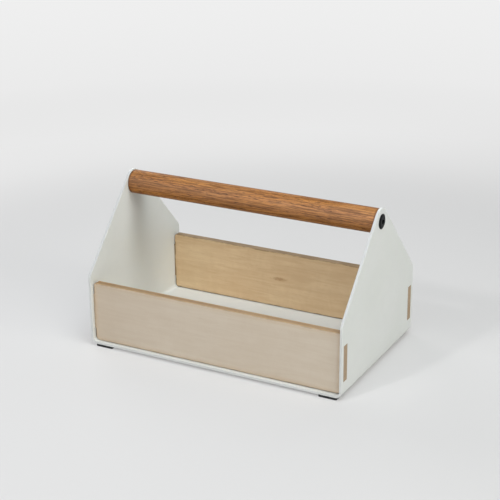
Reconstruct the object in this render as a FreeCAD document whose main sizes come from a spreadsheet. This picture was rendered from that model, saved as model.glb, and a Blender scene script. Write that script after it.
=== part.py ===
import FreeCAD, Part
import Sketcher
import math
import os

# An open tool tote. One folded sheet makes the floor and both gables, two plywood panels hang in
# slots in the gables, and a round handle is bolted between the gable tops.
# X runs along the handle, Y from the front panel to the back one, and Z up from the table.

# Driving sizes in millimetres. Heights on the body are measured from the sheet's underside.
SIZES = [
    ("overall_length", 320, "outer face of one gable to outer face of the other"),
    ("body_depth", 200, "front edge to back edge of the folded sheet"),
    ("sheet_thickness", 3, "sheet of the floor and gables, with its coating"),
    ("bend_radius", 4.5, "inside radius of the two folds"),
    ("shoulder_height", 84, "height where the gable's upright edge would meet its slope"),
    ("shoulder_radius", 10, "rounding of the gable's shoulders"),
    ("handle_height", 170, "height of the handle's axis"),
    ("apex_margin", 1, "gable left standing round the handle's end"),
    ("sheet_arris", 0.4, "softened edge of the coated sheet"),
    ("panel_height", 71, "front and back panels, bottom to top"),
    ("panel_thickness", 9, "plywood of the panels"),
    ("panel_inset", 4.5, "gable edge to the panel's outer face"),
    ("panel_lift", 0.5, "tray floor to the panel's bottom"),
    ("panel_end_gap", 1, "panel's shoulder to the gable's inner face"),
    ("panel_lower_radius", 4, "panel's lower corners, clear of the fold"),
    ("panel_upper_radius", 3, "panel's upper corners"),
    ("panel_arris", 0.8, "sanded edge of the panels"),
    ("tab_height", 42, "tab at each end of a panel"),
    ("tab_rise", 15, "panel's bottom to its tabs"),
    ("slot_clearance", 0.2, "slot to tab, on every side"),
    ("handle_diameter", 28, "round handle"),
    ("handle_arris", 0.8, "softened rim at the handle's ends"),
    ("bolt_diameter", 8, "bolt's shank"),
    ("bolt_length", 17, "bolt under its head"),
    ("bolt_point", 0.8, "chamfer at the shank's end"),
    ("bolt_clearance", 0.2, "gable's hole to the shank, on the radius"),
    ("head_diameter", 17, "bolt's flat head"),
    ("head_flat_diameter", 12.5, "flat top inside the head's sloping rim"),
    ("head_rim", 0.5, "upright edge of the head"),
    ("head_height", 1.5, "bolt's head, gable to flat top"),
    ("socket_across_flats", 5, "hexagon socket"),
    ("socket_depth", 3, "depth of the hexagon socket"),
    ("insert_diameter", 12, "threaded sleeve in the handle's end"),
    ("insert_length", 14, "length of that sleeve"),
    ("insert_recess", 0.5, "sleeve's outer end below the handle's end"),
    ("insert_chamfer", 0.6, "chamfer at the sleeve's ends"),
    ("fit_clearance", 0.05, "sleeve in its bore, and shank in the sleeve, on the radius"),
    ("foot_height", 3, "rubber pads"),
    ("foot_length", 22, "pad's side along the body's length"),
    ("foot_depth", 20, "pad's side along the body's depth"),
    ("foot_corner", 2, "pad's rounded corners"),
    ("foot_arris", 0.5, "pad's softened lower edge"),
    ("foot_end_setback", 6, "gable's outer face to the pad"),
    ("foot_setback", 0.5, "body's front or back edge to the pad"),
    ("cut_overrun", 5, "how far a cut runs past what it cuts"),
]
SIZE = {alias: value for alias, value, meaning in SIZES}

# Two points count as one within this share of the sheet's thickness.
NEAR_SHARE = 0.001
NEAR = NEAR_SHARE * SIZE["sheet_thickness"]

# Lengths that several pieces share, as the sheet's own formulas.
HALF_LENGTH = "Dim.overall_length / 2"
HALF_DEPTH = "Dim.body_depth / 2"
INNER_HALF_LENGTH = "(Dim.overall_length / 2 - Dim.sheet_thickness)"
PANEL_FACE = "(Dim.body_depth / 2 - Dim.panel_inset)"
PANEL_BOTTOM = "(Dim.sheet_thickness + Dim.panel_lift)"
AXIS_HEIGHT = "(Dim.foot_height + Dim.handle_height)"
APEX_RADIUS = "(Dim.handle_diameter / 2 + Dim.apex_margin)"
INSERT_END = "(Dim.sheet_thickness + Dim.insert_recess + Dim.insert_length)"

doc = FreeCAD.newDocument("tool_tote")
sheet = doc.addObject("Spreadsheet::Sheet", "Dim")
for row, (alias, value, meaning) in enumerate(SIZES, 1):
    sheet.set(f"A{row}", alias)
    sheet.set(f"B{row}", str(value))
    sheet.set(f"C{row}", meaning)
    sheet.setAlias(f"B{row}", alias)
doc.recompute()

pieces = []


def new_body(label):
    body = doc.addObject("PartDesign::Body", label)
    body.Label = label
    pieces.append(body)
    return body


def sketch_on(body, role, name):
    plane = [feature for feature in body.Origin.OriginFeatures if feature.Role == role][0]
    sketch = body.newObject("Sketcher::SketchObject", f"{body.Name}_{name}")
    sketch.AttachmentSupport = [(plane, "")]
    sketch.MapMode = "FlatFace"
    return sketch


def bind(sketch, constraint, expression):
    index = sketch.addConstraint(constraint)
    sketch.setExpression(f"Constraints[{index}]", expression)


def polygon(sketch, corners):
    """A closed outline whose corners are pairs of formulas; it starts as a unit polygon."""
    first = sketch.GeometryCount
    count = len(corners)
    turns = [2 * math.pi * index / count for index in range(count)]
    points = [FreeCAD.Vector(math.cos(turn), math.sin(turn), 0) for turn in turns]
    for index in range(count):
        sketch.addGeometry(Part.LineSegment(points[index], points[(index + 1) % count]), False)
    for index in range(count):
        after = first + (index + 1) % count
        sketch.addConstraint(Sketcher.Constraint("Coincident", first + index, 2, after, 1))
    for index, (across, up) in enumerate(corners):
        line = first + index
        if across == "0":
            sketch.addConstraint(Sketcher.Constraint("PointOnObject", line, 1, -2))
        else:
            bind(sketch, Sketcher.Constraint("DistanceX", -1, 1, line, 1, points[index].x), across)
        if up == "0":
            sketch.addConstraint(Sketcher.Constraint("PointOnObject", line, 1, -1))
        else:
            bind(sketch, Sketcher.Constraint("DistanceY", -1, 1, line, 1, points[index].y), up)


def rectangle(sketch, left, right, bottom, top):
    polygon(sketch, [(left, bottom), (right, bottom), (right, top), (left, top)])


def circle(sketch, radius, height="0"):
    """A circle centred on the sketch's upright axis."""
    index = sketch.GeometryCount
    centre = FreeCAD.Vector(0, 0 if height == "0" else 1, 0)
    sketch.addGeometry(Part.Circle(centre, FreeCAD.Vector(0, 0, 1), 1), False)
    sketch.addConstraint(Sketcher.Constraint("PointOnObject", index, 3, -2))
    if height == "0":
        sketch.addConstraint(Sketcher.Constraint("PointOnObject", index, 3, -1))
    else:
        bind(sketch, Sketcher.Constraint("DistanceY", -1, 1, index, 3, 1), height)
    bind(sketch, Sketcher.Constraint("Radius", index, 1), radius)


def extrude(body, kind, sketch, length, symmetric=True):
    """A pad, or a pocket that has to take material away."""
    doc.recompute()
    before = 0 if kind == "Pad" else body.Shape.Volume
    feature = body.newObject(f"PartDesign::{kind}", f"{sketch.Name}_{kind.lower()}")
    feature.Profile = sketch
    feature.SideType = "Symmetric" if symmetric else "One side"
    feature.setExpression("Length", length)
    doc.recompute()
    if kind == "Pocket" and not body.Shape.Volume < before:
        raise RuntimeError(f"{feature.Name} cuts nothing")
    return feature


def revolve(body, sketch):
    """A turned shape about the sketch's horizontal axis."""
    feature = body.newObject("PartDesign::Revolution", f"{sketch.Name}_revolution")
    feature.Profile = sketch
    feature.ReferenceAxis = (sketch, ["H_Axis"])
    feature.Angle = 360
    doc.recompute()
    return feature


def fillet(body, name, radius, wanted):
    """Rounds the edges of the body so far that the test picks by their bounding box."""
    base = body.Tip
    names = [f"Edge{index}" for index, edge in enumerate(base.Shape.Edges, 1)
             if wanted(edge.BoundBox)]
    if not names:
        raise RuntimeError(f"{body.Name}_{name} finds no edge")
    feature = body.newObject("PartDesign::Fillet", f"{body.Name}_{name}")
    feature.Base = (base, names)
    feature.setExpression("Radius", radius)
    doc.recompute()
    return feature


def near(value, target):
    return abs(value - target) < NEAR


def along(box, axis):
    """True for a straight edge that runs along one axis."""
    spans = {"x": box.XLength, "y": box.YLength, "z": box.ZLength}
    across = [span for name, span in spans.items() if name != axis]
    return spans[axis] > NEAR and max(across) < NEAR


def place(body, x="0", y="0", z="0", turned=False):
    """Puts a body at a formula's place, turned half round the upright axis if asked."""
    body.Placement = FreeCAD.Placement(
        FreeCAD.Vector(), FreeCAD.Rotation(FreeCAD.Vector(0, 0, 1), 180 if turned else 0))
    for axis, expression in (("x", x), ("y", y), ("z", z)):
        if expression != "0":
            body.setExpression(f".Placement.Base.{axis}", expression)


def folded_body():
    """Floor and both gables, one sheet with two folds, seated on the feet."""
    body = new_body("folded_body")
    half_length = SIZE["overall_length"] / 2
    half_depth = SIZE["body_depth"] / 2
    inner = half_length - SIZE["sheet_thickness"]
    floor = SIZE["sheet_thickness"]
    # The slope leaves the shoulder's corner and touches the arc round the handle's axis.
    rise = "(Dim.handle_height - Dim.shoulder_height)"
    slope = (f"(atan({rise} / ({HALF_DEPTH}))"
             f" + asin({APEX_RADIUS} / sqrt({rise} ^ 2 + ({HALF_DEPTH}) ^ 2)))")
    apex = f"(Dim.shoulder_height + {HALF_DEPTH} * tan({slope}))"

    blank = sketch_on(body, "XZ_Plane", "blank")
    rectangle(blank, f"-{HALF_LENGTH}", HALF_LENGTH, "0", apex)
    extrude(body, "Pad", blank, "Dim.body_depth")
    inside = sketch_on(body, "XZ_Plane", "inside")
    rectangle(inside, f"-{INNER_HALF_LENGTH}", INNER_HALF_LENGTH, "Dim.sheet_thickness",
              f"{apex} + Dim.cut_overrun")
    extrude(body, "Pocket", inside, "Dim.body_depth + 2 * Dim.cut_overrun")
    fillet(body, "fold_outside", "Dim.bend_radius + Dim.sheet_thickness",
           lambda box: along(box, "y") and near(box.ZMax, 0)
           and near(abs(box.XMax), half_length))
    fillet(body, "fold_inside", "Dim.bend_radius",
           lambda box: along(box, "y") and near(box.ZMax, floor) and near(abs(box.XMax), inner))

    outline = sketch_on(body, "YZ_Plane", "outline")
    margin = f"({HALF_DEPTH} + Dim.cut_overrun)"
    polygon(outline, [
        (f"-{HALF_DEPTH}", "-Dim.cut_overrun"),
        (HALF_DEPTH, "-Dim.cut_overrun"),
        (HALF_DEPTH, "Dim.shoulder_height"),
        ("0", apex),
        (f"-{HALF_DEPTH}", "Dim.shoulder_height"),
    ])
    rectangle(outline, f"-{margin}", margin, "-2 * Dim.cut_overrun", f"{apex} + Dim.cut_overrun")
    extrude(body, "Pocket", outline, "Dim.overall_length + 2 * Dim.cut_overrun")
    peak = body.Shape.BoundBox.ZMax
    fillet(body, "apex", APEX_RADIUS,
           lambda box: along(box, "x") and near(box.ZMax, peak))
    fillet(body, "shoulders", "Dim.shoulder_radius",
           lambda box: along(box, "x") and near(box.ZMax, SIZE["shoulder_height"])
           and near(abs(box.YMax), half_depth))
    soften_outline(body, half_length, half_depth, inner, floor)

    slots = sketch_on(body, "YZ_Plane", "slots")
    outer_side = f"({PANEL_FACE} + Dim.slot_clearance)"
    inner_side = f"({PANEL_FACE} - Dim.panel_thickness - Dim.slot_clearance)"
    bottom = f"{PANEL_BOTTOM} + Dim.tab_rise - Dim.slot_clearance"
    top = f"{PANEL_BOTTOM} + Dim.tab_rise + Dim.tab_height + Dim.slot_clearance"
    rectangle(slots, inner_side, outer_side, bottom, top)
    rectangle(slots, f"-{outer_side}", f"-{inner_side}", bottom, top)
    extrude(body, "Pocket", slots, "Dim.overall_length + 2 * Dim.cut_overrun")
    holes = sketch_on(body, "YZ_Plane", "holes")
    circle(holes, "Dim.bolt_diameter / 2 + Dim.bolt_clearance", "Dim.handle_height")
    extrude(body, "Pocket", holes, "Dim.overall_length + 2 * Dim.cut_overrun")
    place(body, z="Dim.foot_height")


def soften_outline(body, half_length, half_depth, inner, floor):
    """Rounds the sheet's cut edge all the way round, on its outer and inner face."""
    def on_face(box):
        at_gable = box.XLength < NEAR and (near(abs(box.XMax), half_length)
                                           or near(abs(box.XMax), inner))
        at_floor = along(box, "x") and (near(box.ZMax, 0) or near(box.ZMax, floor))
        at_front_or_back = box.YLength < NEAR and near(abs(box.YMax), half_depth)
        return at_front_or_back or (at_gable and not along(box, "y")) or at_floor

    fillet(body, "arris", "Dim.sheet_arris", on_face)


def panel(label, side):
    """Plywood panel held just clear of the floor by a tab at each end that fills a slot."""
    body = new_body(label)
    end = f"({INNER_HALF_LENGTH} - Dim.panel_end_gap)"
    tab_top = "(Dim.tab_rise + Dim.tab_height)"
    right_side = [(end, "0"), (end, "Dim.tab_rise"), (HALF_LENGTH, "Dim.tab_rise"),
                  (HALF_LENGTH, tab_top), (end, tab_top), (end, "Dim.panel_height")]
    left_side = [(f"-{across}", up) for across, up in reversed(right_side)]
    outline = sketch_on(body, "XZ_Plane", "outline")
    polygon(outline, right_side + left_side)
    extrude(body, "Pad", outline, "Dim.panel_thickness")
    height = SIZE["panel_height"]
    end_at = (SIZE["overall_length"] / 2 - SIZE["sheet_thickness"] - SIZE["panel_end_gap"])
    fillet(body, "lower_corners", "Dim.panel_lower_radius",
           lambda box: along(box, "y") and near(box.ZMax, 0))
    fillet(body, "upper_corners", "Dim.panel_upper_radius",
           lambda box: along(box, "y") and near(box.ZMax, height))
    fillet(body, "arris", "Dim.panel_arris",
           lambda box: along(box, "x") and (near(box.ZMax, 0) or near(box.ZMax, height))
           and box.XMax < end_at)
    middle = f"({PANEL_FACE} - Dim.panel_thickness / 2)"
    place(body, y=f"{side} * {middle}", z=f"Dim.foot_height + {PANEL_BOTTOM}")


def handle_dowel():
    """Round handle that stands between the gables, bored at both ends for the sleeves."""
    body = new_body("handle_dowel")
    radius = "Dim.handle_diameter / 2"
    bore = "(Dim.insert_diameter / 2 + Dim.fit_clearance)"
    bottom = f"({HALF_LENGTH} - {INSERT_END})"
    section = sketch_on(body, "XZ_Plane", "section")
    right_side = [(bottom, "0"), (bottom, bore), (INNER_HALF_LENGTH, bore),
                  (INNER_HALF_LENGTH, radius)]
    left_side = [(f"-{across}", up) for across, up in reversed(right_side)]
    polygon(section, right_side + left_side)
    revolve(body, section)
    handle_radius = SIZE["handle_diameter"] / 2
    fillet(body, "rim", "Dim.handle_arris",
           lambda box: box.XLength < NEAR and near(box.YMax, handle_radius))
    place(body, z=AXIS_HEIGHT)


def dowel_insert(label, side):
    """Threaded sleeve seated on the bottom of the handle's bore."""
    body = new_body(label)
    outside = "Dim.insert_diameter / 2"
    inside = "(Dim.bolt_diameter / 2 + Dim.fit_clearance)"
    inner_end = f"({HALF_LENGTH} - {INSERT_END})"
    outer_end = f"({HALF_LENGTH} - Dim.sheet_thickness - Dim.insert_recess)"
    chamfered = f"({outside} - Dim.insert_chamfer)"
    section = sketch_on(body, "XZ_Plane", "section")
    polygon(section, [
        (inner_end, inside), (inner_end, chamfered),
        (f"{inner_end} + Dim.insert_chamfer", outside),
        (f"{outer_end} - Dim.insert_chamfer", outside),
        (outer_end, chamfered), (outer_end, inside),
    ])
    revolve(body, section)
    place(body, z=AXIS_HEIGHT, turned=side < 0)


def handle_bolt(label, side):
    """Flat-headed bolt through the gable into the sleeve, with a hexagon socket."""
    body = new_body(label)
    shank = "Dim.bolt_diameter / 2"
    head = "Dim.head_diameter / 2"
    section = sketch_on(body, "XZ_Plane", "section")
    polygon(section, [
        ("-Dim.bolt_length", "0"), ("-Dim.bolt_length", f"{shank} - Dim.bolt_point"),
        ("-Dim.bolt_length + Dim.bolt_point", shank), ("0", shank), ("0", head),
        ("Dim.head_rim", head), ("Dim.head_height", "Dim.head_flat_diameter / 2"),
        ("Dim.head_height", "0"),
    ])
    revolve(body, section)
    socket = sketch_on(body, "YZ_Plane", "socket")
    socket.setExpression(".AttachmentOffset.Base.z", "Dim.head_height")
    corner = "Dim.socket_across_flats / sqrt(3)"
    flat = "Dim.socket_across_flats / 2"
    polygon(socket, [
        (flat, f"{corner} / 2"), ("0", corner), (f"-{flat}", f"{corner} / 2"),
        (f"-{flat}", f"-{corner} / 2"), ("0", f"-{corner}"), (flat, f"-{corner} / 2"),
    ])
    extrude(body, "Pocket", socket, "Dim.socket_depth", symmetric=False)
    place(body, x=f"{side} * {HALF_LENGTH}", z=AXIS_HEIGHT, turned=side < 0)


def foot(label, x_side, y_side):
    """Rubber pad under a corner of the floor."""
    body = new_body(label)
    half_length = "Dim.foot_length / 2"
    half_depth = "Dim.foot_depth / 2"
    outline = sketch_on(body, "XY_Plane", "outline")
    rectangle(outline, f"-{half_length}", half_length, f"-{half_depth}", half_depth)
    extrude(body, "Pad", outline, "Dim.foot_height", symmetric=False)
    fillet(body, "corners", "Dim.foot_corner", lambda box: along(box, "z"))
    fillet(body, "arris", "Dim.foot_arris",
           lambda box: box.ZLength < NEAR and near(box.ZMax, 0))
    x_middle = f"({HALF_LENGTH} - Dim.foot_end_setback - Dim.foot_length / 2)"
    y_middle = f"({HALF_DEPTH} - Dim.foot_setback - Dim.foot_depth / 2)"
    place(body, x=f"{x_side} * {x_middle}", y=f"{y_side} * {y_middle}")


def check_document():
    """Stops if any object failed or any piece isn't one valid solid."""
    for item in doc.Objects:
        if "Invalid" in item.State or "Error" in item.State:
            raise RuntimeError(f"{item.Name} is {item.State}")
    for piece in pieces:
        shape = piece.Shape
        if shape.isNull() or not shape.isValid() or len(shape.Solids) != 1:
            raise RuntimeError(f"{piece.Label} isn't one valid solid")


folded_body()
panel("front_panel", -1)
panel("back_panel", 1)
handle_dowel()
for x_name, x_side in (("left", -1), ("right", 1)):
    dowel_insert(f"dowel_insert_{x_name}", x_side)
    handle_bolt(f"handle_bolt_{x_name}", x_side)
    for y_name, y_side in (("front", -1), ("back", 1)):
        foot(f"foot_{y_name}_{x_name}", x_side, y_side)

doc.recompute()
check_document()
os.makedirs("parts", exist_ok=True)
for piece in pieces:
    piece.Shape.exportStep(f"parts/{piece.Label}.step")
    box = piece.Shape.BoundBox
    print(piece.Label, "volume", round(piece.Shape.Volume, 1), "box",
          [round(value, 2) for value in (box.XMin, box.YMin, box.ZMin, box.XMax, box.YMax, box.ZMax)])
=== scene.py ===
# An open carrying tote on a pale studio floor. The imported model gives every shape, and this
# script gives each piece its finish, lights the studio and sets the camera. Lengths are in
# metres and angles in degrees, in the model's own frame.
import math

import bpy
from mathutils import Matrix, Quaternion, Vector


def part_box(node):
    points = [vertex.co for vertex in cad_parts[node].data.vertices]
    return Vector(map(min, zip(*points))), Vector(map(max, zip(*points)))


MM = 0.001

# Camera: it looks at a point in the middle of the tote.
CAMERA_AIM = (-0.00224, 0.0, 0.11197)
CAMERA_DISTANCE = 1.57264
CAMERA_AZIMUTH = 28.068
CAMERA_ELEVATION = 20.992
CAMERA_ROLL = -0.4975
CAMERA_LENS_MM = 98.288
CAMERA_SENSOR_MM = 36.0
CAMERA_CLIP = (0.05, 40.0)

# Studio: the azimuth of a lamp is measured as the camera's is, 0 in front and 90 on the right.
LAMP_AIM = (0.0, 0.0, 0.06)
LAMP_DISTANCE = 2.2
WHITE = (1.0, 1.0, 1.0)
WARM = (1.0, 1.0, 0.94)
COOL = (1.0, 0.99, 1.04)
SKY = (0.86, 1.0, 1.12)
LAMPS = {
    "front": {"azimuth": -20.0, "elevation": 38.0, "side": 0.9, "power": 5.2, "tint": COOL},
    "front_wide": {"azimuth": 0.0, "elevation": 30.0, "side": 2.2, "power": 11.0, "tint": COOL},
    "right_high": {"azimuth": 60.0, "elevation": 60.0, "side": 1.2, "power": 15.2, "tint": WARM},
    "right_middle": {"azimuth": 62.0, "elevation": 30.0, "side": 0.9, "power": 7.0, "tint": WARM},
    "right_low": {"azimuth": 88.0, "elevation": 25.0, "side": 0.5, "power": 8.3, "tint": WARM},
    "left_back": {"azimuth": -125.0, "elevation": 30.0, "side": 1.2, "power": 15.4, "tint": WHITE},
    "back": {"azimuth": 180.0, "elevation": 30.0, "side": 1.2, "power": 4.0, "tint": WHITE},
    "overhead": {"azimuth": 60.0, "elevation": 78.0, "side": 0.9, "power": 10.9, "tint": SKY},
    "top": {"azimuth": 0.0, "elevation": 90.0, "side": 1.2, "power": 3.8, "tint": SKY},
}
# A small lamp for the floor alone, on which it gives the tote its crisp shadow.
FLOOR_LAMP = {"azimuth": -18.5, "elevation": 38.0, "side": 0.15, "power": 11.8, "tint": WHITE}
AMBIENT_STRENGTH = 0.01

# Floor: a plain tone, which depends on the distance from the tote, makes up a share of what is
# seen of it. The share grows to the whole between the two distances of the fade. The tone's
# lift goes from its right value to its left one between the two X values, and fades out between
# the two distances.
FLOOR_RADIUS = 9.0
FLOOR_SIDES = 96
FLOOR_COLOUR = (0.641, 0.629, 0.623)
FLOOR_TONES = ((0.30, 0.765), (0.55, 0.722), (0.72, 0.760), (0.90, 0.779), (1.30, 0.828),
               (2.40, 0.870))
FLOOR_PLAIN_SHARE = 0.35
FLOOR_FADE = (0.45, 0.90)
LIFT = (-0.040, 0.055)
LIFT_X = (0.32, -0.35)
LIFT_FADE = (0.70, 1.20)

# Panels: what the boxes of the nodes don't tell. The knot's place and half size are along X and
# Z. The glow and the burn of the laser cut fade between two distances from a face's outline.
TAB_LENGTH = 4 * MM
PLY_LAYERS = 7
KNOT = (-7.8 * MM, 43.0 * MM)
KNOT_SIZE = (9.5 * MM, 2.2 * MM)
GLOW = (0.5 * MM, 6.0 * MM)
BURN = (0.1 * MM, 1.3 * MM)
OUTLINE_WANDER = 0.5 * MM
BROWN_END_LENGTH = 110 * MM

# Handle: the log's middle from the handle's axis, along Y and Z, the width of a growth ring, the
# two distances from the handle's ends between which the wood darkens towards them, and the two
# heights over its axis between which painted shade darkens the handle downwards.
RING_CENTRE = (24 * MM, -55 * MM)
RING_WIDTH = 3.1 * MM
END_DARKENING = (3.5 * MM, 0.6 * MM)
PAINTED_SHADE_BELOW = (8 * MM, 2 * MM)

# Marks of turning: from one ring to the next.
BOLT_RING_PITCH = 0.35 * MM
SLEEVE_RING_PITCH = 0.5 * MM


class Finish:
    """A node material that is built up round its Principled surface."""

    def __init__(self, name):
        self.material = bpy.data.materials.new(name)
        self.material.use_nodes = True
        self.nodes = self.material.node_tree.nodes
        self.links = self.material.node_tree.links
        self.surface = self.nodes["Principled BSDF"]
        coordinates = self.nodes.new("ShaderNodeTexCoord")
        self.place = coordinates.outputs["Object"]
        self.normal = coordinates.outputs["Normal"]

    def plug(self, socket, value):
        """Links a node's output to a socket, or sets a plain value on the socket."""
        if isinstance(value, bpy.types.NodeSocket):
            self.links.new(value, socket)
        else:
            socket.default_value = value

    def math(self, operation, *values):
        node = self.nodes.new("ShaderNodeMath")
        node.operation = operation
        for socket, value in zip(node.inputs, values):
            self.plug(socket, value)
        return node.outputs[0]

    def axes(self, vector):
        """The X, Y and Z of a vector."""
        node = self.nodes.new("ShaderNodeSeparateXYZ")
        self.plug(node.inputs[0], vector)
        return node.outputs[0], node.outputs[1], node.outputs[2]

    def flat_length(self, first, second):
        """Length of the vector that has these two sides."""
        squares = [self.math("MULTIPLY", side, side) for side in (first, second)]
        return self.math("SQRT", self.math("ADD", *squares))

    def stretched(self, vector, scale):
        """The vector with each axis scaled by its own factor."""
        node = self.nodes.new("ShaderNodeVectorMath")
        node.operation = "MULTIPLY"
        self.plug(node.inputs[0], vector)
        node.inputs[1].default_value = scale
        return node.outputs[0]

    def noise(self, vector, scale=1.0, detail=2.0, roughness=0.5, distortion=0.0):
        node = self.nodes.new("ShaderNodeTexNoise")
        self.plug(node.inputs["Vector"], vector)
        node.inputs["Scale"].default_value = scale
        node.inputs["Detail"].default_value = detail
        node.inputs["Roughness"].default_value = roughness
        node.inputs["Distortion"].default_value = distortion
        return node.outputs[0]

    def remap(self, value, start, end, low=0.0, high=1.0, smooth=True):
        """Turns start to end into low to high, and stays there outside them."""
        node = self.nodes.new("ShaderNodeMapRange")
        node.interpolation_type = "SMOOTHSTEP" if smooth else "LINEAR"
        for socket, number in zip(node.inputs, (value, start, end, low, high)):
            self.plug(socket, number)
        return node.outputs[0]

    def mix(self, factor, first, second):
        """Colour from first at factor 0 to second at factor 1."""
        node = self.nodes.new("ShaderNodeMix")
        node.data_type = "RGBA"
        self.plug(node.inputs[0], factor)
        for socket, colour in zip(node.inputs[6:8], (first, second)):
            linked = isinstance(colour, bpy.types.NodeSocket)
            self.plug(socket, colour if linked else (*colour, 1.0))
        return node.outputs[2]

    def bump(self, height, depth, normal=None):
        """Relief from a height between 0 and 1, which stands for depth metres."""
        node = self.nodes.new("ShaderNodeBump")
        node.inputs["Strength"].default_value = 1.0
        node.inputs["Distance"].default_value = depth
        self.plug(node.inputs["Height"], height)
        if normal is not None:
            self.plug(node.inputs["Normal"], normal)
        return node.outputs[0]

    def set(self, name, value):
        """Sets or links a socket of the surface."""
        self.plug(self.surface.inputs[name], value)


def powder_coat():
    """White powder coat: orange peel, a grain within it, and painted shade on the sloping edges."""
    f = Finish("white_powder_coat_finish")
    _, across, up = f.axes(f.normal)
    drift = f.noise(f.place, scale=14.0, detail=3.0)
    cloud = f.noise(f.place, scale=55.0, detail=4.0, roughness=0.6)
    peel = f.noise(f.place, scale=620.0, detail=2.0, roughness=0.45)
    grain = f.noise(f.place, scale=2600.0, detail=2.0)
    tone = f.mix(f.remap(drift, 0.35, 0.65), (0.750, 0.768, 0.738), (0.772, 0.785, 0.764))
    tone = f.mix(f.remap(cloud, 0.38, 0.72, 0.0, 0.35), tone, (0.737, 0.750, 0.728))
    # Painted shade: faces that point up and to the front or back, the sloping edges, are darkened.
    painted_slope_shade = f.math("MULTIPLY", f.remap(f.math("ABSOLUTE", across), 0.3, 0.5), f.remap(up, 0.3, 0.5))
    f.set("Base Color", f.mix(painted_slope_shade, tone, (0.672, 0.677, 0.672)))
    f.set("Roughness", f.remap(cloud, 0.3, 0.7, 0.44, 0.56))
    f.set("Specular IOR Level", 0.45)
    relief = f.bump(peel, 0.035 * MM)
    f.set("Normal", f.bump(grain, 0.012 * MM, relief))
    return f.material


def birch(f, pale, dark, contrast):
    """Colour of a birch face: wavy long grain, soft clouds, a cross-grain shimmer and flecks."""
    grain = f.noise(f.stretched(f.place, (16.0, 60.0, 190.0)), detail=5.0, roughness=0.60,
                    distortion=0.9)
    cloud = f.noise(f.stretched(f.place, (14.0, 30.0, 30.0)), detail=2.0)
    shimmer = f.noise(f.stretched(f.place, (75.0, 30.0, 40.0)), detail=2.0, distortion=1.2)
    fleck = f.noise(f.stretched(f.place, (170.0, 900.0, 1100.0)), detail=2.0, roughness=0.55)
    tone = f.mix(f.remap(grain, 0.34, 0.68, 0.0, contrast), pale, dark)
    tone = f.mix(f.remap(cloud, 0.36, 0.64, 0.0, 0.60 * contrast), tone, dark)
    tone = f.mix(f.remap(shimmer, 0.38, 0.66, 0.0, 0.30 * contrast), tone, dark)
    tone = f.mix(f.remap(fleck, 0.58, 0.70, 0.0, 0.70 * contrast), tone, dark)
    return tone, grain, fleck


def knot(f, tone):
    """A small brown knot, drawn out along the grain."""
    x, _, z = f.axes(f.place)
    along = f.math("DIVIDE", f.math("SUBTRACT", x, KNOT[0]), KNOT_SIZE[0])
    up = f.math("DIVIDE", f.math("SUBTRACT", z, KNOT[1]), KNOT_SIZE[1])
    ragged = f.noise(f.stretched(f.place, (260.0, 260.0, 900.0)), detail=3.0)
    away = f.math("ADD", f.flat_length(along, up), f.remap(ragged, 0.3, 0.7, -0.35, 0.35))
    return f.mix(f.remap(away, 0.2, 1.4, 0.62, 0.0), tone, (0.40, 0.19, 0.075))


def ply_edge(f, node, along, scorch_and_shade):
    """Colour of a laser-cut edge: brown in the middle and paler towards both faces."""
    y = f.axes(f.place)[1]
    low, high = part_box(node)
    half = (high.y - low.y) / 2
    depth = f.math("DIVIDE", f.math("SUBTRACT", y, (low.y + high.y) / 2), half)
    rim = f.remap(f.math("ABSOLUTE", depth), 0.30, 0.95)
    layer = f.math("PINGPONG", f.math("MULTIPLY", f.math("ADD", depth, 1.0), PLY_LAYERS / 2), 1.0)
    fibre = f.noise(f.stretched(f.place, (260.0, 1100.0, 260.0)), detail=4.0, roughness=0.65)
    tinting = f.noise(f.stretched(f.place, (30.0, 60.0, 30.0)), detail=3.0)
    long_edge = f.mix(rim, (0.315, 0.192, 0.090), (0.520, 0.345, 0.182))
    # The last argument darkens the long edges: laser burn, and on the back panel partly painted
    # shade.
    long_edge = f.mix(scorch_and_shade, long_edge, (0.170, 0.115, 0.055))
    end = f.mix(f.remap(layer, 0.30, 0.70), (0.535, 0.405, 0.280), (0.350, 0.240, 0.145))
    tone = f.mix(f.remap(f.math("ABSOLUTE", along), 0.5, 0.8), long_edge, end)
    tone = f.mix(f.remap(fibre, 0.38, 0.70, 0.0, 0.45), tone, (0.200, 0.120, 0.060))
    tone = f.mix(f.remap(tinting, 0.35, 0.65, 0.0, 0.25), tone, (0.480, 0.345, 0.205))
    return tone, fibre


def outline_distance(f):
    """Distance from the nearest long or short edge of a panel, inside its face."""
    low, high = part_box("front_panel")
    x, _, z = f.axes(f.place)
    half_length = high.x - TAB_LENGTH
    half_height = (high.z - low.z) / 2
    middle = (high.z + low.z) / 2
    from_end = f.math("SUBTRACT", half_length, f.math("ABSOLUTE", x))
    from_rim = f.math("SUBTRACT", half_height, f.math("ABSOLUTE", f.math("SUBTRACT", z, middle)))
    return f.math("MINIMUM", from_end, from_rim)


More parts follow.
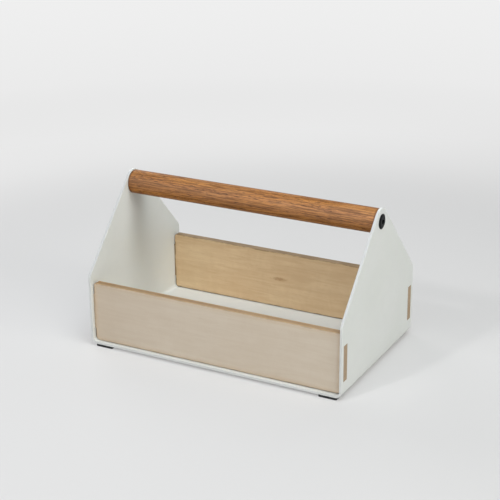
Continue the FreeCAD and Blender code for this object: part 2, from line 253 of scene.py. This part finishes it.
def plywood(node, outward, scorch_and_shade):
    """Birch plywood of one panel: pale outer face, golden inner face and burnt outline.

    The inner face darkens towards the right, a painted shade of the right gable, and the left end
    of the outer face is browner. On the back panel the outline is darker still: partly laser burn
    and partly painted shade where the panel meets the gables and the floor.
    """
    f = Finish(node + "_birch")
    along, across, _ = f.axes(f.normal)
    outer, grain, fleck = birch(f, (0.722, 0.629, 0.505), (0.608, 0.494, 0.365), 0.26)
    inner, _, _ = birch(f, (0.872, 0.665, 0.412), (0.650, 0.427, 0.225), 0.46)
    low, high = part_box(node)
    x = f.axes(f.place)[0]
    # Painted shade: the inner face darkens towards the right end, which the right gable shades.
    painted_right_shade = f.remap(x, low.x, high.x, 0.0, 0.35)
    inner = f.mix(painted_right_shade, inner, (0.530, 0.390, 0.240))
    brown_end = f.remap(x, low.x, low.x + BROWN_END_LENGTH, 0.32, 0.0)
    outer = f.mix(brown_end, outer, (0.560, 0.440, 0.310))
    if node == "back_panel":
        inner = knot(f, inner)
    tone = f.mix(f.remap(f.math("MULTIPLY", across, outward), -0.2, 0.2), inner, outer)
    wander = f.noise(f.place, scale=110.0, detail=3.0)
    shift = f.remap(wander, 0.3, 0.7, -OUTLINE_WANDER, OUTLINE_WANDER)
    reach = f.math("ADD", outline_distance(f), shift)
    tone = f.mix(f.remap(reach, *GLOW, 0.30, 0.0), tone, (0.640, 0.440, 0.250))
    # Deeper outline from the last argument: burn, and on the back panel partly painted shade.
    burn = f.remap(reach, *BURN, 0.35 + 0.50 * scorch_and_shade, 0.0)
    tone = f.mix(burn, tone, (0.200, 0.120, 0.060))
    edge, fibre = ply_edge(f, node, along, scorch_and_shade)
    face = f.remap(f.math("ABSOLUTE", across), 0.55, 0.92)
    f.set("Base Color", f.mix(face, edge, tone))
    f.set("Roughness", f.remap(grain, 0.3, 0.7, 0.52, 0.66))
    f.set("Specular IOR Level", 0.30)
    relief = f.bump(f.math("MULTIPLY", grain, face), 0.05 * MM)
    relief = f.bump(f.remap(fleck, 0.55, 0.72, 1.0, 0.0), 0.03 * MM, relief)
    f.set("Normal", relief)
    return f.material


def handle_wood():
    """Oiled open-grained hardwood: growth rings, streaks, fine threads and short pores along X."""
    f = Finish("handle_wood_finish")
    low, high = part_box("handle_dowel")
    centre = (low + high) / 2
    x, y, z = f.axes(f.place)
    warp = f.noise(f.stretched(f.place, (6.0, 30.0, 30.0)), detail=2.0)
    over = f.math("SUBTRACT", z, centre.z + RING_CENTRE[1])
    aside = f.math("SUBTRACT", y, centre.y + RING_CENTRE[0])
    radius = f.math("DIVIDE", f.flat_length(over, aside), RING_WIDTH)
    ring = f.math("ADD", radius, f.math("MULTIPLY", warp, 3.0))
    season = f.remap(f.math("PINGPONG", ring, 1.0), 0.35, 0.95)
    streak = f.noise(f.stretched(f.place, (24.0, 640.0, 640.0)), detail=5.0, roughness=0.62)
    thread = f.noise(f.stretched(f.place, (40.0, 1500.0, 1500.0)), detail=3.0, roughness=0.60)
    pore = f.noise(f.stretched(f.place, (130.0, 1500.0, 1500.0)), detail=2.0, roughness=0.55)
    patch = f.noise(f.stretched(f.place, (16.0, 70.0, 70.0)), detail=3.0)
    tone = f.mix(season, (0.570, 0.262, 0.088), (0.502, 0.210, 0.061))
    tone = f.mix(f.remap(patch, 0.36, 0.64, 0.0, 0.60), tone, (0.616, 0.264, 0.067))
    # Painted shade: the handle darkens below its axis.
    painted_underside_shade = f.remap(z, *(centre.z + height for height in PAINTED_SHADE_BELOW), 0.0, 0.24)
    tone = f.mix(painted_underside_shade, tone, (0.290, 0.106, 0.024))
    tone = f.mix(f.remap(streak, 0.46, 0.60, 0.0, 0.70), tone, (0.155, 0.056, 0.016))
    tone = f.mix(f.remap(thread, 0.50, 0.62, 0.0, 0.66), tone, (0.135, 0.050, 0.014))
    pores = f.math("MULTIPLY", f.remap(pore, 0.54, 0.64), f.remap(season, 0.0, 1.0, 0.45, 0.95))
    tone = f.mix(pores, tone, (0.080, 0.028, 0.009))
    # The wood darkens towards both ends.
    tinting = (high.x - distance for distance in END_DARKENING)
    end = f.remap(f.math("ABSOLUTE", x), *tinting, 0.0, 0.75)
    tone = f.mix(end, tone, (0.150, 0.060, 0.020))
    weight = f.nodes.new("ShaderNodeLayerWeight")
    weight.inputs["Blend"].default_value = 0.5
    slant = weight.outputs["Facing"]
    # Painted shade: the colour darkens where the surface turns away from the camera, along the
    # outline.
    f.set("Base Color", f.mix(f.remap(slant, 0.55, 0.95, 0.0, 0.60), tone, (0.190, 0.085, 0.034)))
    f.set("Roughness", f.remap(streak, 0.3, 0.7, 0.34, 0.50))
    f.set("Specular IOR Level", f.remap(slant, 0.12, 0.40, 0.50, 0.06))
    relief = f.bump(f.remap(pore, 0.54, 0.66, 1.0, 0.0), 0.12 * MM)
    f.set("Normal", f.bump(streak, 0.06 * MM, relief))
    return f.material


def black_steel():
    """Black satin steel: turning rings on the flat of the head and faint handling marks."""
    f = Finish("black_steel_finish")
    low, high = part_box("handle_bolt_right")
    axis_height = (low.z + high.z) / 2
    _, y, z = f.axes(f.place)
    radius = f.flat_length(y, f.math("SUBTRACT", z, axis_height))
    turning = f.math("SINE", f.math("MULTIPLY", radius, math.tau / BOLT_RING_PITCH))
    mark = f.noise(f.place, scale=420.0, detail=4.0, roughness=0.65)
    tone = f.mix(f.remap(mark, 0.45, 0.75), (0.004, 0.005, 0.005), (0.012, 0.014, 0.014))
    f.set("Base Color", tone)
    f.set("Roughness", f.remap(mark, 0.3, 0.7, 0.34, 0.50))
    f.set("Specular IOR Level", 0.08)
    relief = f.bump(f.remap(turning, -1.0, 1.0, smooth=False), 0.006 * MM)
    f.set("Normal", f.bump(mark, 0.01 * MM, relief))
    return f.material


def turned_brass():
    """Turned brass: fine rings round the sleeve and a slight tarnish."""
    f = Finish("sleeve_brass_finish")
    x = f.axes(f.place)[0]
    turning = f.math("SINE", f.math("MULTIPLY", x, math.tau / SLEEVE_RING_PITCH))
    tarnish = f.noise(f.place, scale=260.0, detail=4.0)
    tone = f.mix(f.remap(tarnish, 0.4, 0.7), (0.760, 0.560, 0.270), (0.520, 0.350, 0.150))
    f.set("Base Color", tone)
    f.set("Metallic", 1.0)
    f.set("Roughness", f.remap(tarnish, 0.3, 0.7, 0.24, 0.42))
    f.set("Normal", f.bump(f.remap(turning, -1.0, 1.0, smooth=False), 0.02 * MM))
    return f.material


def matt_rubber():
    """Matt black rubber: a fine moulded grain and a trace of dust."""
    f = Finish("black_rubber_finish")
    dust = f.noise(f.place, scale=160.0, detail=4.0, roughness=0.65)
    grain = f.noise(f.place, scale=1900.0, detail=2.0)
    tone = f.mix(f.remap(dust, 0.48, 0.75), (0.014, 0.015, 0.017), (0.045, 0.045, 0.046))
    f.set("Base Color", tone)
    f.set("Roughness", f.remap(dust, 0.3, 0.7, 0.62, 0.80))
    f.set("Specular IOR Level", 0.35)
    f.set("Normal", f.bump(grain, 0.03 * MM))
    return f.material


def dress(material, *names):
    """Puts the material on the CAD nodes of these names."""
    for name in names:
        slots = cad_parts[name].data.materials
        slots.clear()
        slots.append(material)


def dress_all():
    sides = ("left", "right")
    dress(powder_coat(), "folded_body")
    dress(plywood("front_panel", -1.0, 0.0), "front_panel")
    # Back panel: a darker outline, partly laser burn and partly painted shade in its corners.
    dress(plywood("back_panel", 1.0, 0.8), "back_panel")
    dress(handle_wood(), "handle_dowel")
    dress(black_steel(), *("handle_bolt_" + side for side in sides))
    dress(turned_brass(), *("dowel_insert_" + side for side in sides))
    dress(matt_rubber(), *(f"foot_{end}_{side}" for end in ("front", "back") for side in sides))


def direction(azimuth, elevation):
    """The unit vector from the tote towards that azimuth and elevation."""
    turn, rise = math.radians(azimuth), math.radians(elevation)
    flat = math.cos(rise)
    return Vector((math.sin(turn) * flat, -math.cos(turn) * flat, math.sin(rise)))


def studio_floor():
    """A large round floor. Far off, what the camera sees of it is a plain pale backdrop."""
    mesh = bpy.data.meshes.new("studio_floor")
    rim = [(FLOOR_RADIUS * math.cos(a), FLOOR_RADIUS * math.sin(a), 0.0)
           for a in (math.tau * i / FLOOR_SIDES for i in range(FLOOR_SIDES))]
    mesh.from_pydata(rim, [], [range(len(rim))])
    floor = bpy.data.objects.new("studio_floor", mesh)
    bpy.context.scene.collection.objects.link(floor)
    floor.data.materials.append(floor_finish())


def seen_directly(f):
    """1 for rays of the camera, of reflections and through glass, and 0 for light."""
    path = f.nodes.new("ShaderNodeLightPath")
    seen = f.math("MAXIMUM", path.outputs["Is Camera Ray"], path.outputs["Is Glossy Ray"])
    return f.math("MAXIMUM", seen, path.outputs["Is Transmission Ray"])


def floor_finish():
    """Matt pale floor near the tote, which fades into a plain backdrop further away."""
    f = Finish("studio_floor_finish")
    f.set("Base Color", (*FLOOR_COLOUR, 1.0))
    f.set("Roughness", 0.9)
    f.set("Specular IOR Level", 0.1)
    x, y, _ = f.axes(f.place)
    reach = f.flat_length(x, y)
    last_distance, last_tone = FLOOR_TONES[-1]
    ramp = f.nodes.new("ShaderNodeValToRGB")
    ramp.color_ramp.interpolation = "CARDINAL"
    stops = ramp.color_ramp.elements
    stops.remove(stops[0])
    stops[0].position, stops[0].color = 1.0, (last_tone, last_tone, last_tone, 1.0)
    for distance, tone in FLOOR_TONES[:-1]:
        stops.new(distance / last_distance).color = (tone, tone, tone, 1.0)
    f.plug(ramp.inputs[0], f.math("DIVIDE", reach, last_distance))
    plain = f.nodes.new("ShaderNodeEmission")
    lift = f.math("MULTIPLY", f.remap(x, *LIFT_X, *LIFT), f.remap(reach, *LIFT_FADE, 1.0, 0.0))
    f.plug(plain.inputs["Color"], f.math("ADD", ramp.outputs[0], lift))
    share = f.remap(reach, *FLOOR_FADE, FLOOR_PLAIN_SHARE, 1.0)
    share = f.math("MULTIPLY", share, seen_directly(f))
    blend = f.nodes.new("ShaderNodeMixShader")
    f.plug(blend.inputs[0], share)
    f.plug(blend.inputs[1], f.surface.outputs[0])
    f.plug(blend.inputs[2], plain.outputs[0])
    f.plug(f.nodes["Material Output"].inputs["Surface"], blend.outputs[0])
    return f.material


def ambient_light():
    """Even light from all round. Beyond the floor the camera sees the backdrop's tone."""
    world = bpy.data.worlds.new("studio")
    world.use_nodes = True
    nodes, links = world.node_tree.nodes, world.node_tree.links
    path = nodes.new("ShaderNodeLightPath")
    seen = nodes.new("ShaderNodeMath")
    seen.operation = "MAXIMUM"
    links.new(path.outputs["Is Camera Ray"], seen.inputs[0])
    links.new(path.outputs["Is Glossy Ray"], seen.inputs[1])
    strength = nodes.new("ShaderNodeMapRange")
    links.new(seen.outputs[0], strength.inputs["Value"])
    strength.inputs["To Min"].default_value = AMBIENT_STRENGTH
    strength.inputs["To Max"].default_value = FLOOR_TONES[-1][1]
    background = nodes["Background"]
    background.inputs["Color"].default_value = (1.0, 1.0, 1.0, 1.0)
    links.new(strength.outputs["Result"], background.inputs["Strength"])
    bpy.context.scene.world = world


def softbox(name, azimuth, elevation, side, power, tint):
    """A square lamp that points at the tote."""
    lamp = bpy.data.lights.new(name, "AREA")
    lamp.shape = "SQUARE"
    lamp.size = side
    lamp.energy = power
    lamp.color = tint
    holder = bpy.data.objects.new(name, lamp)
    bpy.context.scene.collection.objects.link(holder)
    towards = direction(azimuth, elevation)
    holder.location = Vector(LAMP_AIM) + towards * LAMP_DISTANCE
    holder.rotation_euler = towards.to_track_quat("Z", "Y").to_euler()
    return holder


def floor_lamp():
    """The lamp that lights the floor only, with the tote's shadow on it."""
    holder = softbox("floor_lamp", **FLOOR_LAMP)
    lit = bpy.data.collections.new("floor_only")
    lit.objects.link(bpy.data.objects["studio_floor"])
    holder.light_linking.receiver_collection = lit


def camera():
    """The camera at the photograph's viewing angle."""
    data = bpy.data.cameras.new("camera")
    data.lens = CAMERA_LENS_MM
    data.sensor_width = CAMERA_SENSOR_MM
    data.sensor_fit = "HORIZONTAL"
    data.clip_start, data.clip_end = CAMERA_CLIP
    holder = bpy.data.objects.new("camera", data)
    bpy.context.scene.collection.objects.link(holder)
    towards = direction(CAMERA_AZIMUTH, CAMERA_ELEVATION)
    holder.location = Vector(CAMERA_AIM) + towards * CAMERA_DISTANCE
    holder.rotation_mode = "QUATERNION"
    roll = Quaternion((0.0, 0.0, 1.0), math.radians(CAMERA_ROLL))
    holder.rotation_quaternion = towards.to_track_quat("Z", "Y") @ roll
    bpy.context.scene.camera = holder


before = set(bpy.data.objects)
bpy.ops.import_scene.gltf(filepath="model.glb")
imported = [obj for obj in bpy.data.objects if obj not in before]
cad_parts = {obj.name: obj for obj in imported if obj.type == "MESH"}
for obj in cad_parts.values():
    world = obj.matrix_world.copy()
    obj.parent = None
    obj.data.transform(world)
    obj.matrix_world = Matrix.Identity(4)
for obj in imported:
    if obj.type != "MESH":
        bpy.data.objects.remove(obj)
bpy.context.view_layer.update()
camera()
studio_floor()
ambient_light()
for lamp_name, settings in LAMPS.items():
    softbox(lamp_name, **settings)
floor_lamp()
dress_all()
bpy.context.scene.view_settings.view_transform = "Standard"
